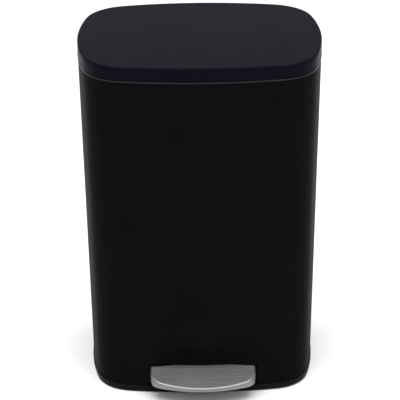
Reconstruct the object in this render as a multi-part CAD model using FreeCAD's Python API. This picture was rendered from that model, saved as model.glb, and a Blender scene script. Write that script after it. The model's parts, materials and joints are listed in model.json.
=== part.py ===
"""A pedal trash can: a drafted outer body with an inner bucket, and a flat lid lifted by a foot pedal.

The pedal lever turns on an axle under the floor. Its rear end lifts a rod that runs up inside the rear
wall, and the rod turns a crank on the lid. A piston damper beside the rod slows the lid as it closes.
The frame: X to the can's left and right, -Y to its front, +Z up, and the origin on the ground at the
middle of the can's box. Lengths are millimetres, angles degrees.
"""

import FreeCAD, Part
import math
import os

V = FreeCAD.Vector
X, Y, Z = V(1, 0, 0), V(0, 1, 0), V(0, 0, 1)

# ---- overall sizes -------------------------------------------------------------------------------
WIDTH = 410.0              # across the lid, side to side
DEPTH = 320.0              # across the lid, front to back, without pedal and hinge
HEIGHT = 607.0             # ground to the crown of the lid
DRAFT = 1.11               # how much every outer wall leans in towards the ground
FRONT_R = 825.0            # bow of the front wall in plan
BACK_R = 775.0             # bow of the rear wall in plan
SIDE_R = 373.0             # bow of the side walls in plan
FRONT_CORNER_R = 77.0
BACK_CORNER_R = 77.0

# ---- body, base ring and rim collar --------------------------------------------------------------
OVER = 1.0                 # how far a cutting shape runs past a face
WALL = 2.6                 # moulded wall of the outer body
FLOOR_Z = 70.0             # top of the body's floor
FLOOR_T = 3.0
FOOT_H = 1.5               # how far the rubber feet stand below the base ring
RING_TOP = 12.0            # where the base ring ends and the body begins
RING_PROUD = 1.4           # the base ring stands out from the wall by this
RING_EDGE_R = 1.6
RING_FLANGE = 26.0         # width of the ring's flat flange that holds the feet
RING_FLANGE_T = 2.5
TONGUE_T = 1.9             # tongues of ring and collar that plug into the body
TONGUE_GAP = 0.25
RING_TONGUE_H = 13.0
COLLAR_T = 2.0             # the collar's edge that shows between body and lid
COLLAR_PROUD = 0.7
COLLAR_TONGUE_H = 14.0
UPSTAND_INSET = 4.0        # the collar's upstand, inside the lid's skirt
UPSTAND_T = 2.0
UPSTAND_H = 5.5
COLLAR_EDGE_R = 0.8
RING_SLOT_SIDE = 2.0       # the ring's tongue stops this far beside the pedal slot

# ---- lid -----------------------------------------------------------------------------------------
LID_H = 24.5               # skirt's lower edge to the crown
LID_GAP = 1.0              # between the skirt and the collar's edge
LID_WALL = 2.5
LID_CROWN_R = 13000.0      # radius of the lid's slight dome
LID_EDGE_R = 3.2
PANEL_T = 2.0              # inner panel of the lid
PANEL_GAP = 0.3
PANEL_LIP_H = 4.0
PANEL_LIP_T = 1.8
PANEL_ABOVE = 2.0          # panel above the collar's upstand
PANEL_SCREW_IN = 55.0      # side panel screws from the lid's side
PANEL_SCREW_Y = (64.5, 244.5)  # and from the lid's front
PANEL_FRONT_SCREW = (55.0, 37.5)
LID_BOSS_R = 4.0
BUMPER_R = 2.1
BUMPER_GAP = 0.3           # between a bumper and the upstand it lands on
LID_SWING = 75.0           # how far the lid opens

# ---- hinge at the rear ---------------------------------------------------------------------------
HINGE_OUT = 8.0            # hinge axis behind the rear wall
HINGE_DROP = 2.5           # hinge axis below the body's top edge
KNUCKLE_R = 7.0
PIN_R = 2.5
PIN_HALF = 65.0
ARM_X = 45.0               # the lid's two hinge arms, and half of their width
ARM_HALF = 6.0
KNUCKLE_GAP = 0.5          # between neighbouring knuckles along the pin
KNUCKLE_W = 12.0           # width of the housing's knuckles
BUSH_T = 1.0
HOUSING_LOW = 36.0         # housing plate below the hinge axis
HOUSING_T = 4.0
HOUSING_IN = 20.0          # the housing is drawn from this far inside, and the wall trims it
HOUSING_STEP = 1.5         # the plate ends this far below the knuckles
HOUSING_HEEL = 10.0        # height of the knuckle web's foot
HOUSING_SCREW_UP = 5.5     # screws above the plate's lower edge
HOUSING_SCREW_LENGTH = 8.0
HOUSING_SCREWS_X = (-56.0, -22.0, 22.0, 56.0)
HINGE_NOTCH = 67.0         # half of the gap in lid skirt and collar for the hinge
NOTCH_TOP = 9.0            # notch above the skirt's lower edge
NOTCH_CUT = 20.0           # how far the notch reaches in from the rear wall
HINGE_PLATE_T = 3.0
HINGE_PLATE_IN = (14.0, 48.0)  # the lid's hinge plate, from the lid's rear edge inwards
HINGE_SCREWS_X = (-30.0, -12.0, 12.0, 30.0)
HINGE_SCREW_IN = 36.0
ARM_REACH = 50.0           # the hinge arms run this far in from the axis
ARM_BACK = 5.0             # and this far out behind it
PIN_CHAMFER = 0.5
CRANK_T = 6.0
CRANK_SLOT_W = 7.0
CRANK_SLOT_REACH = (20.6, 26.9)  # centres of the slot's round ends from the hinge axis
CRANK_TIP_WALL = 3.0
CRANK_TILT = 0.9           # the crank's extra turn, for the rod's lean
CRANK_GATE = 9.0           # half of the slot in the rear wall for the crank
CRANK_GATE_DROP = 21.0     # lower edge of that slot below the hinge axis
CRANK_GATE_IN = 25.0
RISE_SHARE = 1.12          # rod travel for each radian of lid, over the crank's reach

# ---- lift rod, damper and their cover in the rear channel ----------------------------------------
ROD_R = 2.5
ROD_BEND_R = 5.0
ROD_X = 8.0
ROD_GAP = 10.5             # rod's centre to the inside of the rear wall
CLIP_T = 1.5
CLIP_GAP = 0.6             # between a hook's clip and the tongue it holds
CLIP_PROUD = 2.3
HOOK_TAIL = 1.0            # rod's end past its clip
CHANNEL_OUT = 30.0         # channel pieces are drawn out to here, and the rear wall trims them
TRIM = 5.0                 # how far the trimming shapes run past a channel piece's ends
GUIDE_CLEAR = 0.3
GUIDE_H = 15.0             # the upper guide's height
GUIDE_DROP = 110.0         # its top below the body's top edge
GUIDE_WALL = 4.0
GUIDE_SCREW_OUT = 12.0     # the guide's screw beside the rod
GUIDE_END = 6.0            # the guide's end past its screw
LOWER_GUIDE_WALL = 1.7
LOWER_GUIDE_UP = 6.0
LOWER_FLANGE = 2.5
LOWER_FLANGE_Z = (0.3, 2.3)
DAMPER_X = -15.0
DAMPER_TONGUE_X = -23.0    # the lever's tongue that the damper rod hooks into
DAMPER_R = 9.0
DAMPER_WALL = 1.5
DAMPER_LENGTH = 78.0
DAMPER_ABOVE_FLOOR = 10.0
DAMPER_PLUG = 4.0          # gland and cap reach this far into the cylinder
DAMPER_HEAD = 2.0
PISTON_UP = 6.0            # piston above the gland when the lid is shut
CLAMP_UP = 30.0            # clamp above the damper's lower end
CLAMP_H = 20.0
CLAMP_WALL = 2.5
CLAMP_FOOT = 4.0
CLAMP_SCREW_OUT = 12.0
CLAMP_SCREW_END = 5.0
DAMPER_ROD_R = 2.0
ROD_ROOM = 1.0             # round the damper rod where it passes the floor
PISTON_H = 8.0
PISTON_CLEAR = 0.5
SEAL_R = 0.9
SEAL_PROUD = 0.2
CHANNEL = 25.0             # depth of the rod cover from the rear wall's inside
COVER_HALF = 34.0
COVER_T = 2.0
COVER_TOP_DROP = 30.0      # cover's top below the body's top edge
COVER_OFF_FLOOR = 3.0
COVER_SCREW_END = 25.0     # cover screws from the cover's ends
TAB_SCREW = 7.0            # cover screws beside the cover
TAB_END = 6.0              # a tab's end past its screw
TAB_HALF_H = 8.0
BOSS_H = 6.0
BOSS_R = 4.0

# ---- pedal, lever and axle -----------------------------------------------------------------------
PEDAL_REACH = 36.0         # pedal's lip in front of the body's front at the lid
PEDAL_W = 181.0
TREAD_Z = 48.5             # tread's top where it meets the front wall
TREAD_SLOPE = 17.2
TREAD_BACK = 9.0           # how far the tread runs in behind the wall's face
TREAD_T = 1.5
TREAD_SIDE_H = 14.0        # height of the tread's sides where they meet the wall
TREAD_OPEN = 5.0           # how far the hollow under the tread runs out below and behind
LIP_KNEE = 28.0            # the lip's lower edge is level as far as this
STUD_X = 55.0
STUD_Y = (-20.0, 2.0)      # studs from the wall's face
STUD_R = 2.0
STUD_L = 8.0
STUD_CLEAR = 0.1
NUT_R = 3.8
NUT_H = 2.4
TREAD_FRONT_R = 204.0
TREAD_CORNER_R = 26.0
TREAD_EDGE_R = 3.2
LIP_Z = 22.0               # lower edge of the lip above the ground
LIP_DROP = 17.8            # how far the lip goes down when it is pressed
SLOT_W = 187.0             # pedal slot in the front wall
SLOT_TOP = 52.0
SLOT_CORNER_R = 5.0
SCOOP_HALF_W = 90.0        # toe scoop in the front wall above the slot
SCOOP_H = 33.0
SCOOP_DEPTH = 12.0
SCOOP_CORNER_R = 24.0
SCOOP_BLEND_R = 10.0
POCKET_IN = 0.5            # the scoop's own wall starts this far inside the outer face
SLOT_CUT = 50.0            # how far the pedal slot's cut reaches each way
AXLE_R = 4.0
AXLE_Z = 36.0
AXLE_FIT = 0.05
AXLE_PAST = 4.0            # axle's end past its bracket
AXLE_CHAMFER = 0.6
AXLE_CLIP_PROUD = 3.5
BEAM_X = 34.0              # the lever's two beams
BEAM_T = 6.0
BOSS_OUT = 46.0            # outer end of the lever's bosses
BEAM_HALF_H = 9.0          # of the beams beside the axle
BEAM_FLAT = 14.0           # the beams stay that high this far each side of the axle
BEAM_SCOOP = 12.0          # the beams' front end reaches this far below the tread's top
LEVER_BOSS_R = 11.0
LEVER_BUSH_R = 6.0
LEVER_FLANGE_T = 1.5
LEVER_FLANGE = 3.0
PAD_HALF_W = 68.0          # the pad under the tread
PAD_Y = (-28.0, 9.0)       # its ends from the wall's face
PAD_T = 3.0
BAR_BEHIND = 9.0           # the cross-bar's rear face in front of the rods
BAR_T = 10.0
BAR_UP = 7.0
BAR_DOWN = 6.0
TONGUE_R = 6.0             # round end of the tongues that the rods hook into
TONGUE_PAST = 0.4
BRACKET_X = 49.0
BRACKET_T = 5.0
BRACKET_HALF = 20.0
BRACKET_EYE_R = 12.0
BRACKET_FLANGE = 18.0
BRACKET_SCREW_OUT = 8.0
BRACKET_SCREW_Y = 13.0
FOOT_HOOK_Z = 24.0         # rod's lower hook above the ground
HOOK_SLOT_PLAY = 1.5       # play along the lever in the hook's slot

# ---- inner bucket --------------------------------------------------------------------------------
BUCKET_GAP = 16.0          # lid outline to the bucket's wall, front and sides
BUCKET_BACK_GAP = 36.0
BUCKET_WALL = 2.0
BUCKET_FLOOR = 2.5
BUCKET_DRAFT = 1.5
BUCKET_DROP = 20.0         # bucket's rim below the body's top edge
BUCKET_FOOT_R = 6.0
BUCKET_INSIDE_R = 1.5
RIM_W = 6.0
RIM_H = 9.0
RIM_EDGE_R = 1.5
GRIP_L = 96.0
GRIP_H = 32.0
GRIP_DROP = 34.0           # grip's middle below the bucket's rim

# ---- fasteners and feet --------------------------------------------------------------------------
SCREW_R = 1.5
SCREW_HEAD_R = 3.2
SCREW_HEAD_H = 1.8
SCREW_HEAD_EDGE_R = 1.08
SCREW_RECESS = 1.08
SCREW_LENGTH = 7.0
SCREW_CLEAR = 0.08
FOOT_R = 10.0
FOOT_STEM_R = 3.0
FOOT_HEAD_R = 4.5
FOOT_INSET = 13.0
FOOT_CHAMFER = 0.5

# ---- places worked out from the sizes ------------------------------------------------------------
LEAN = math.tan(math.radians(DRAFT))
SKIRT_Z = HEIGHT - LID_H
COLLAR_TOP = SKIRT_Z - LID_GAP
BODY_TOP = COLLAR_TOP - COLLAR_T
PANEL_Z = COLLAR_TOP + UPSTAND_H + PANEL_ABOVE
BUMPER_H = PANEL_Z - COLLAR_TOP - UPSTAND_H - BUMPER_GAP
HINGE_REACH = HINGE_OUT + KNUCKLE_R
MIDDLE_Y = (PEDAL_REACH - HINGE_REACH) / 2
FRONT_Y = MIDDLE_Y - DEPTH / 2
BACK_Y = MIDDLE_Y + DEPTH / 2
AXIS_Z = BODY_TOP - HINGE_DROP
AXIS_Y = BACK_Y + HINGE_OUT
CRANK_REACH = HINGE_OUT + WALL + ROD_GAP
LIFT = RISE_SHARE * CRANK_REACH * math.radians(LID_SWING)
TOP_HOOK_Z = AXIS_Z - LIFT / 2
LIP_Y = FRONT_Y - PEDAL_REACH
FLOOR_UNDER = FLOOR_Z - FLOOR_T


def rod_y(z):
    """The lift rod's line, which leans with the rear wall."""
    return AXIS_Y - CRANK_REACH - LEAN * (AXIS_Z - z)


FOOT_HOOK_Y = rod_y(FOOT_HOOK_Z)
PEDAL_SWING = math.degrees((LIP_DROP + LIFT) / (FOOT_HOOK_Y - LIP_Y))
AXLE_Y = FOOT_HOOK_Y - LIFT / math.radians(PEDAL_SWING)
AXLE_HALF = BRACKET_X + BRACKET_T + AXLE_PAST
BRACKET_SCREWS = [(side * (BRACKET_X + BRACKET_T + BRACKET_SCREW_OUT), AXLE_Y + dy)
                  for side in (-1, 1) for dy in (-BRACKET_SCREW_Y, BRACKET_SCREW_Y)]
COVER_Z = (FLOOR_Z + COVER_OFF_FLOOR, BODY_TOP - COVER_TOP_DROP)
COVER_SCREWS = [(x, z) for z in (COVER_Z[0] + COVER_SCREW_END, COVER_Z[1] - COVER_SCREW_END)
                for x in (-COVER_HALF - TAB_SCREW, COVER_HALF + TAB_SCREW)]
DAMPER_Z = (FLOOR_Z + DAMPER_ABOVE_FLOOR, FLOOR_Z + DAMPER_ABOVE_FLOOR + DAMPER_LENGTH)
PISTON_Z = DAMPER_Z[0] + DAMPER_PLUG + PISTON_UP
PISTON_R = DAMPER_R - DAMPER_WALL - PISTON_CLEAR
CLAMP_Z = (DAMPER_Z[0] + CLAMP_UP, DAMPER_Z[0] + CLAMP_UP + CLAMP_H)
CLAMP_SCREWS = [(DAMPER_X - CLAMP_SCREW_OUT, z)
                for z in (CLAMP_Z[0] + CLAMP_SCREW_END, CLAMP_Z[1] - CLAMP_SCREW_END)]
GUIDE_Z = (BODY_TOP - GUIDE_DROP - GUIDE_H, BODY_TOP - GUIDE_DROP)
GUIDE_SCREW = (ROD_X + GUIDE_SCREW_OUT, sum(GUIDE_Z) / 2)
LOWER_GUIDE_R = ROD_R + GUIDE_CLEAR + LOWER_GUIDE_WALL
HOUSING_LOW_Z = AXIS_Z - HOUSING_LOW
HOUSING_FACE_Y = BACK_Y - LEAN * (HEIGHT - HOUSING_LOW_Z) + HOUSING_T
HOUSING_SCREW_Z = HOUSING_LOW_Z + HOUSING_SCREW_UP
WALL_FACE_Y = FRONT_Y + LEAN * (HEIGHT - TREAD_Z)
SLOPE = math.tan(math.radians(TREAD_SLOPE))
STUDS = [(x, WALL_FACE_Y + dy) for x in (-STUD_X, STUD_X) for dy in STUD_Y]
PANEL_SCREWS = [(side * (WIDTH / 2 - PANEL_SCREW_IN), FRONT_Y + dy)
                for side in (-1, 1) for dy in PANEL_SCREW_Y]
PANEL_SCREWS += [(side * PANEL_FRONT_SCREW[0], FRONT_Y + PANEL_FRONT_SCREW[1]) for side in (-1, 1)]
HINGE_SCREWS = [(x, BACK_Y - HINGE_SCREW_IN) for x in HINGE_SCREWS_X]
CRANK_REST = math.degrees(math.atan2(LIFT / 2, CRANK_REACH)) + CRANK_TILT
HOOK_PAST = CRANK_T / 2 + CLIP_GAP


# ---- helpers -------------------------------------------------------------------------------------
def polar(angle):
    return V(math.cos(angle), math.sin(angle), 0)


class Plan:
    """A rounded plan of eight tangent arcs. Insetting it keeps every arc's centre."""

    def __init__(self, width, y_front, y_back, front_r, back_r, side_r, front_corner_r, back_corner_r):
        self.radii = (front_r, front_corner_r, side_r, back_corner_r, back_r)
        front = V(0, y_front + front_r, 0)
        back = V(0, y_back - back_r, 0)
        side = V(width / 2 - side_r, (y_front + y_back) / 2, 0)
        front_corner = self.meet(side, side_r - front_corner_r, front, front_r - front_corner_r, -1)
        back_corner = self.meet(side, side_r - back_corner_r, back, back_r - back_corner_r, 1)
        self.centres = (front, front_corner, side, back_corner, back)
        turns = [self.angle(a, b) for a, b in
                 ((front, front_corner), (side, front_corner), (side, back_corner), (back, back_corner))]
        self.turns = [-math.pi / 2, *turns, math.pi / 2]

    @staticmethod
    def meet(c1, r1, c2, r2, y_sign):
        """The point at r1 from c1 and r2 from c2, on the front or the back side."""
        d = c2 - c1
        gap = d.Length
        along = (r1 * r1 - r2 * r2 + gap * gap) / (2 * gap)
        across = math.sqrt(r1 * r1 - along * along)
        n = V(-d.y, d.x, 0) * (across / gap)
        foot = c1 + d * (along / gap)
        return max((foot + n, foot - n), key=lambda p: p.x + y_sign * p.y)

    @staticmethod
    def angle(centre, point):
        return math.atan2(point.y - centre.y, point.x - centre.x)

    def wire(self, z, inset=0.0):
        """The closed outline at a height, moved inwards by inset."""
        right = []
        for centre, radius, a, b in zip(self.centres, self.radii, self.turns, self.turns[1:]):
            points = [centre + polar(t) * (radius - inset) + Z * z for t in (a, (a + b) / 2, b)]
            right.append(points)
        left = [[V(-p.x, p.y, p.z) for p in reversed(arc)] for arc in reversed(right)]
        front = [left[-1][0], right[0][0], right[0][2]]
        back = [right[-1][0], right[-1][2], left[0][2]]
        arcs = [front, *right[1:-1], back, *left[1:-1]]
        return Part.Wire([Part.Arc(*arc).toShape() for arc in arcs])

    def corner(self, name, inset):
        """The point at a corner's middle, moved inwards by inset. name is such as front_left."""
        i = 1 if name.startswith("front") else 3
        turn = (self.turns[i] + self.turns[i + 1]) / 2
        p = self.centres[i] + polar(turn) * (self.radii[i] - inset)
        return V(-p.x, p.y, 0) if name.endswith("left") else p


BODY_PLAN = Plan(WIDTH, FRONT_Y, BACK_Y, FRONT_R, BACK_R, SIDE_R, FRONT_CORNER_R, BACK_CORNER_R)
BUCKET_PLAN = Plan(WIDTH - 2 * BUCKET_GAP, FRONT_Y + BUCKET_GAP, BACK_Y - BUCKET_BACK_GAP,
                   FRONT_R - BUCKET_GAP, BACK_R - BUCKET_GAP, SIDE_R - BUCKET_GAP,
                   FRONT_CORNER_R - BUCKET_GAP, BACK_CORNER_R - BUCKET_GAP)
CORNERS = ("front_left", "front_right", "rear_left", "rear_right")


def column(z_low, z_high, inset=0.0):
    """A solid inside the can's drafted outer surface, moved inwards by inset."""
    wires = [BODY_PLAN.wire(z, inset + LEAN * (HEIGHT - z)) for z in (z_low, z_high)]
    return Part.makeLoft(wires, True, True)


def ring(z_low, z_high, outer_inset, inner_inset):
    """A band of the drafted outline. The cut runs past both ends."""
    return column(z_low, z_high, outer_inset).cut(column(z_low - OVER, z_high + OVER, inner_inset))


def block(x0, x1, y0, y1, z0, z1):
    return Part.makeBox(x1 - x0, y1 - y0, z1 - z0, V(x0, y0, z0))


def rod(radius, start, end):
    return Part.makeCylinder(radius, (end - start).Length, start, end - start)


def tube(outer_r, inner_r, start, end):
    over = (end - start).normalize() * OVER
    return rod(outer_r, start, end).cut(rod(inner_r, start - over, end + over))


def round_edges(solid):
    """The full circles at a round solid's ends."""
    return [e for e in solid.Edges if e.Closed]


def plate(x0, x1, points):
    """A plate between x0 and x1 whose outline is given by (y, z) points."""
    ring_points = [V(x0, y, z) for y, z in points]
    face = Part.Face(Part.makePolygon([*ring_points, ring_points[0]]))
    return face.extrude(V(x1 - x0, 0, 0))


def slot_tool(x0, x1, centre, direction, length, width):
    """An obround hole through x, round a centre, along a direction in the YZ plane."""
    half = direction * ((length - width) / 2)
    side = X.cross(direction) * (width / 2)
    corners = [centre - half - side, centre + half - side, centre + half + side, centre - half + side]
    placed = [V(x0, p.y, p.z) for p in corners]
    middle = Part.Face(Part.makePolygon([*placed, placed[0]])).extrude(V(x1 - x0, 0, 0))
    ends = [rod(width / 2, V(x0, p.y, p.z), V(x1, p.y, p.z)) for p in (centre - half, centre + half)]
    return middle.fuse(ends).removeSplitter()


def screw(head_seat, direction, length):
    """A pan-head screw. head_seat is under the head, and direction points to the tip."""
    top = head_seat - direction * SCREW_HEAD_H
    head = rod(SCREW_HEAD_R, top, head_seat)
    rim = [e for e in round_edges(head) if (e.CenterOfMass - top).Length < SCREW_HEAD_H / 2]
    head = head.makeFillet(SCREW_HEAD_EDGE_R, rim)
    recess = rod(SCREW_R, top - direction * OVER, top + direction * SCREW_RECESS)
    return head.fuse(rod(SCREW_R, head_seat, head_seat + direction * length)).cut(recess)


def screw_hole(head_seat, direction, length):
    return rod(SCREW_R + SCREW_CLEAR, head_seat - direction * OVER, head_seat + direction * (length + OVER))


def is_level(edge, z):
    return all(abs(v.Z - z) < 1e-4 for v in edge.Vertexes)


def channel_solid(shape):
    """Leans an upright solid, drawn round y = 0, onto the rod's line."""
    placed = shape.copy()
    placed.rotate(V(0, 0, 0), X, -DRAFT)
    placed.translate(V(0, rod_y(0), 0))
    return placed


def upright(radius, x, z_low, z_high):
    """A round bar along the channel, before it is leant."""
    return rod(radius, V(x, 0, z_low), V(x, 0, z_high))


def trimmed(solid, z_low, z_high):
    """A channel solid, cut off where it meets the rear wall."""
    return channel_solid(solid).common(column(z_low - TRIM, z_high + TRIM, WALL))


def boss_seat(x, z):
    """The top of a cover boss on the inside of the rear wall."""
    return V(x, wall_y(x, z, WALL) - BOSS_H, z)


# ---- fixed parts ---------------------------------------------------------------------------------


def wall_y(x, z, inset=0.0):
    """The rear wall's outer face at a height, moved inwards by inset."""
    centre, radius = BODY_PLAN.centres[4], BODY_PLAN.radii[4]
    return centre.y + math.sqrt((radius - inset - LEAN * (HEIGHT - z)) ** 2 - x * x)


def rear_screw_seats(places):
    """Points just off the rear wall's outer face, so that a square screw head clears its lean and bow."""
    return [V(x, wall_y(x, z) + SCREW_HEAD_R * (LEAN + abs(x) / BACK_R), z) for x, z in places]


def scoop(grow):
    """The toe scoop: a rounded pocket above the pedal slot."""
    y = FRONT_Y + LEAN * (HEIGHT - SLOT_TOP)
    half, deep, high = SCOOP_HALF_W + grow, SCOOP_DEPTH + grow, SCOOP_H + grow
    box = block(-half, half, y - deep, y + deep, SLOT_TOP - high, SLOT_TOP + high)
    across = [e for e in box.Edges if abs(e.tangentAt(e.FirstParameter).y) > 0.9]
    box = box.makeFillet(SCOOP_CORNER_R + grow, across)
    loop = [e for e in box.Edges if all(abs(v.Y - y - deep) < 1e-4 for v in e.Vertexes)]
    return box.makeFillet(SCOOP_BLEND_R + grow, loop)


def pedal_slot():
    """The pedal's opening, with rounded upper corners."""
    half = SLOT_W / 2
    high = block(-half, half, FRONT_Y - SLOT_CUT, FRONT_Y + SLOT_CUT, -SLOT_TOP, SLOT_TOP)
    across = [e for e in high.Edges if abs(e.tangentAt(e.FirstParameter).y) > 0.9]
    return high.makeFillet(SLOT_CORNER_R, across)


def crank_gate():
    low = AXIS_Z - CRANK_GATE_DROP
    return block(-CRANK_GATE, CRANK_GATE, BACK_Y - CRANK_GATE_IN, AXIS_Y + OVER, low, HEIGHT)


def outer_body():
    body = column(RING_TOP, BODY_TOP)
    body = body.cut(column(FLOOR_Z, BODY_TOP + OVER, WALL))
    body = body.cut(column(RING_TOP - OVER, FLOOR_UNDER, WALL))
    pocket = scoop(WALL).common(column(RING_TOP, BODY_TOP, POCKET_IN))
    body = body.fuse(pocket).cut(scoop(0)).cut(pedal_slot()).cut(crank_gate())
    body = body.fuse([rod(BOSS_R, boss_seat(x, z), V(x, wall_y(x, z) - WALL / 2, z))
                      for x, z in COVER_SCREWS])
    holes = [screw_hole(boss_seat(x, z), Y, SCREW_LENGTH - COVER_T) for x, z in COVER_SCREWS]
    outside = CLAMP_SCREWS + [GUIDE_SCREW] + [(x, HOUSING_SCREW_Z) for x in HOUSING_SCREWS_X]
    holes += [screw_hole(p, -Y, SCREW_LENGTH) for p in rear_screw_seats(outside)]
    holes += [screw_hole(V(x, y, FLOOR_UNDER - BRACKET_T), Z, SCREW_LENGTH - OVER)
              for x, y in BRACKET_SCREWS]
    for x, radius in ((ROD_X, LOWER_GUIDE_R), (DAMPER_X, DAMPER_ROD_R + ROD_ROOM)):
        holes.append(channel_solid(upright(radius, x, FLOOR_UNDER - TRIM, FLOOR_Z + TRIM)))
    return body.cut(holes)


def rim_collar():
    ledge = column(BODY_TOP, COLLAR_TOP, -COLLAR_PROUD)
    ledge = ledge.makeFillet(COLLAR_EDGE_R, [e for e in ledge.Edges if is_level(e, COLLAR_TOP)])
    inside = UPSTAND_INSET + UPSTAND_T
    ledge = ledge.cut(column(BODY_TOP - OVER, COLLAR_TOP + OVER, inside))
    tongue_out = WALL + TONGUE_GAP
    tongue = ring(BODY_TOP - COLLAR_TONGUE_H, BODY_TOP, tongue_out, tongue_out + TONGUE_T)
    upstand = ring(COLLAR_TOP, COLLAR_TOP + UPSTAND_H, UPSTAND_INSET, inside)
    gap = block(-HINGE_NOTCH, HINGE_NOTCH, BACK_Y - NOTCH_CUT, BACK_Y + NOTCH_CUT,
                BODY_TOP - NOTCH_CUT, HEIGHT)
    return ledge.fuse([tongue, upstand]).cut(gap).removeSplitter()


def base_ring():
    band = column(FOOT_H, RING_TOP, -RING_PROUD)
    band = band.makeFillet(RING_EDGE_R, [e for z in (FOOT_H, RING_TOP) for e in band.Edges if is_level(e, z)])
    inside = WALL + TONGUE_GAP + TONGUE_T
    band = band.cut(column(FOOT_H + RING_FLANGE_T, RING_TOP + OVER, inside))
    band = band.cut(column(FOOT_H - OVER, RING_TOP + OVER, RING_FLANGE))
    tongue = ring(RING_TOP, RING_TOP + RING_TONGUE_H, WALL + TONGUE_GAP, inside)
    gap_half = SLOT_W / 2 + RING_SLOT_SIDE
    front = block(-gap_half, gap_half, FRONT_Y - SLOT_CUT, FRONT_Y + SLOT_CUT, RING_TOP, SLOT_TOP)
    holes = [rod(FOOT_STEM_R, p - Z * OVER, p + Z * (FOOT_H + RING_FLANGE_T + OVER))
             for p in foot_places().values()]
    return band.fuse(tongue.cut(front)).cut(holes).removeSplitter()


def foot_places():
    low = LEAN * HEIGHT
    return {name: BODY_PLAN.corner(name, low + FOOT_INSET) for name in CORNERS}


def foot(place):
    """A rubber foot pushed into the ring's flange from below."""
    disc = rod(FOOT_R, place, place + Z * FOOT_H)
    disc = disc.makeChamfer(FOOT_CHAMFER, [e for e in disc.Edges if is_level(e, 0)])
    top = FOOT_H + RING_FLANGE_T
    stem = rod(FOOT_STEM_R, place + Z * FOOT_H, place + Z * top)
    return disc.fuse([stem, rod(FOOT_HEAD_R, place + Z * top, place + Z * (top + FOOT_H))])


def inner_bucket():
    rim_z = BODY_TOP - BUCKET_DROP
    lean = math.tan(math.radians(BUCKET_DRAFT))
    floor = FLOOR_Z + BUCKET_FLOOR

    def level(z, inset):
        return BUCKET_PLAN.wire(z, inset + lean * (rim_z - z))

    def taper(z_low, z_high, inset):
        return Part.makeLoft([level(z_low, inset), level(z_high, inset)], True, True)

    outer = taper(FLOOR_Z, rim_z, 0)
    outer = outer.makeFillet(BUCKET_FOOT_R, [e for e in outer.Edges if is_level(e, FLOOR_Z)])
    inner = taper(floor, rim_z + OVER, BUCKET_WALL)
    inner = inner.makeFillet(BUCKET_INSIDE_R, [e for e in inner.Edges if is_level(e, floor)])
    rim = taper(rim_z - RIM_H, rim_z, -RIM_W)
    rim = rim.makeFillet(RIM_EDGE_R, [e for e in rim.Edges if is_level(e, rim_z)])
    under = taper(rim_z - RIM_H - OVER, rim_z - BUCKET_WALL, BUCKET_WALL - RIM_W)
    bucket = outer.fuse(rim.cut(under)).cut(inner)
    middle = BUCKET_PLAN.centres[2].y
    return bucket.cut(slot_tool(-WIDTH, WIDTH, V(0, middle, rim_z - GRIP_DROP), Y, GRIP_L, GRIP_H))


def axle_bracket(side):
    """A steel bracket under the floor that carries one end of the axle."""
    x0, x1 = BRACKET_X, BRACKET_X + BRACKET_T
    y0, y1 = AXLE_Y - BRACKET_HALF, AXLE_Y + BRACKET_HALF
    eye = BRACKET_EYE_R
    web = plate(x0, x1, [(y0, FLOOR_UNDER), (y1, FLOOR_UNDER), (AXLE_Y + eye, AXLE_Z),
                         (AXLE_Y - eye, AXLE_Z)])
    web = web.fuse(rod(eye, V(x0, AXLE_Y, AXLE_Z), V(x1, AXLE_Y, AXLE_Z)))
    flange = block(x0, x1 + BRACKET_FLANGE, y0, y1, FLOOR_UNDER - BRACKET_T, FLOOR_UNDER)
    bore = rod(AXLE_R, V(x0 - OVER, AXLE_Y, AXLE_Z), V(x1 + OVER, AXLE_Y, AXLE_Z))
    holes = [screw_hole(V(abs(x), y, FLOOR_UNDER - BRACKET_T), Z, SCREW_LENGTH) for x, y in BRACKET_SCREWS]
    right = web.fuse(flange).cut([bore, *holes]).removeSplitter()
    return right if side > 0 else right.mirror(V(0, 0, 0), X)


def axle_bracket_screws():
    seats = [V(x, y, FLOOR_UNDER - BRACKET_T) for x, y in BRACKET_SCREWS]
    return Part.makeCompound([screw(seat, Z, SCREW_LENGTH) for seat in seats])


def pedal_axle():
    axle = rod(AXLE_R, V(-AXLE_HALF, AXLE_Y, AXLE_Z), V(AXLE_HALF, AXLE_Y, AXLE_Z))
    return axle.makeChamfer(AXLE_CHAMFER, round_edges(axle))


def axle_clips():
    x0 = BRACKET_X + BRACKET_T
    ends = [[V(side * x, AXLE_Y, AXLE_Z) for x in (x0, x0 + CLIP_T)] for side in (-1, 1)]
    return Part.makeCompound([tube(AXLE_R + AXLE_CLIP_PROUD, AXLE_R, *pair) for pair in ends])


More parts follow.
